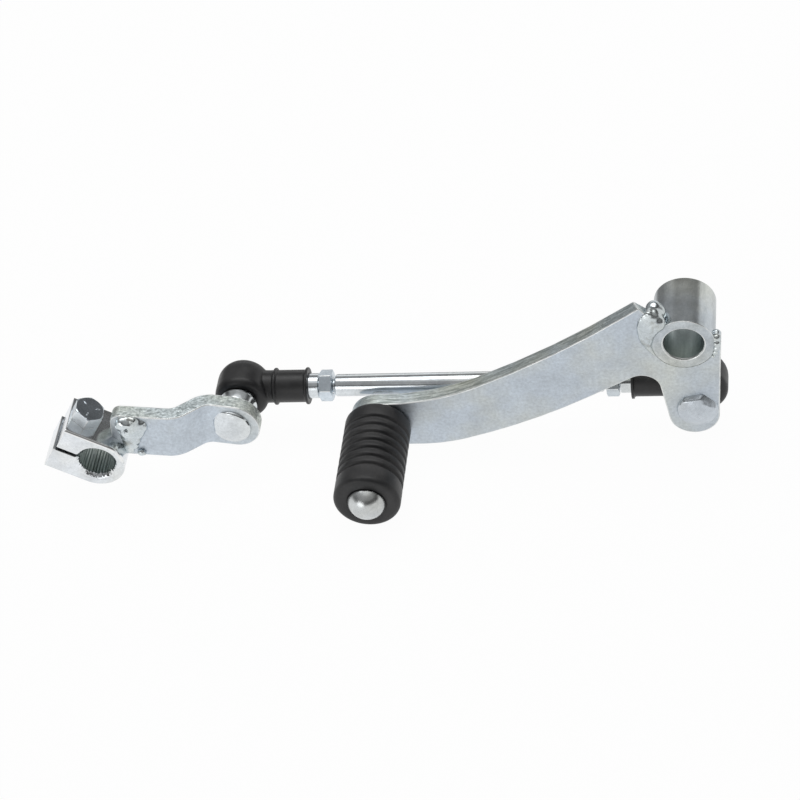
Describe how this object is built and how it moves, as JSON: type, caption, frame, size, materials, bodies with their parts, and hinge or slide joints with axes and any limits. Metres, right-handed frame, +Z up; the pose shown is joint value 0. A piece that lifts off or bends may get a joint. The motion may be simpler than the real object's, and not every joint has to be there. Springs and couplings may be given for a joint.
{
  "type": "motorcycle gear shift lever",
  "caption": "Foot gear lever with ribbed rubber peg and pivot tube, tied by a ball-jointed adjustable rod to a cranked arm with a split splined clamp.",
  "frame": {"origin": "on the pivot bore's axis, at the front face of the pivot tube and of the lever's plate", "axes": "+Y along the pivot bore, away from the rider's foot; X along the link rod with the crank at -X; +Z up"},
  "size_m": [0.2408, 0.065, 0.0645],
  "materials": {
    "zinc_steel": "satin zinc plate",
    "bright_steel": "bright zinc plate",
    "rubber": "satin black rubber"
  },
  "bodies": {
    "lever": {"pedal_arm": "zinc_steel", "pivot_boss": "bright_steel", "boss_weld_left": "bright_steel", "boss_weld_right": "bright_steel", "peg_pin": "bright_steel", "peg_rubber": "rubber", "rear_ball_stud": "bright_steel"},
    "link": {"rear_socket": "bright_steel", "rear_snap_ring": "bright_steel", "rear_boot": "rubber", "rear_lock_nut": "zinc_steel", "link_rod": "bright_steel", "front_lock_nut": "zinc_steel", "front_socket": "bright_steel", "front_snap_ring": "bright_steel", "front_boot": "rubber"},
    "crank": {"front_ball_stud": "bright_steel", "crank_arm": "zinc_steel", "spline_clamp": "zinc_steel", "pinch_bolt": "bright_steel", "clamp_weld": "bright_steel", "clamp_weld_tack": "bright_steel"}
  },
  "joints": [
    {"name": "rear_ball_joint", "type": "hinge", "parent": "lever", "child": "link", "pos_m": [0.0043, 0.0134, -0.029], "axis": [0, 1, 0], "range_deg": [-70, 35]},
    {"name": "front_ball_joint", "type": "hinge", "parent": "link", "child": "crank", "pos_m": [-0.1585, 0.0134, -0.029], "axis": [0, 1, 0], "range_deg": [-75, 75]}
  ]
}
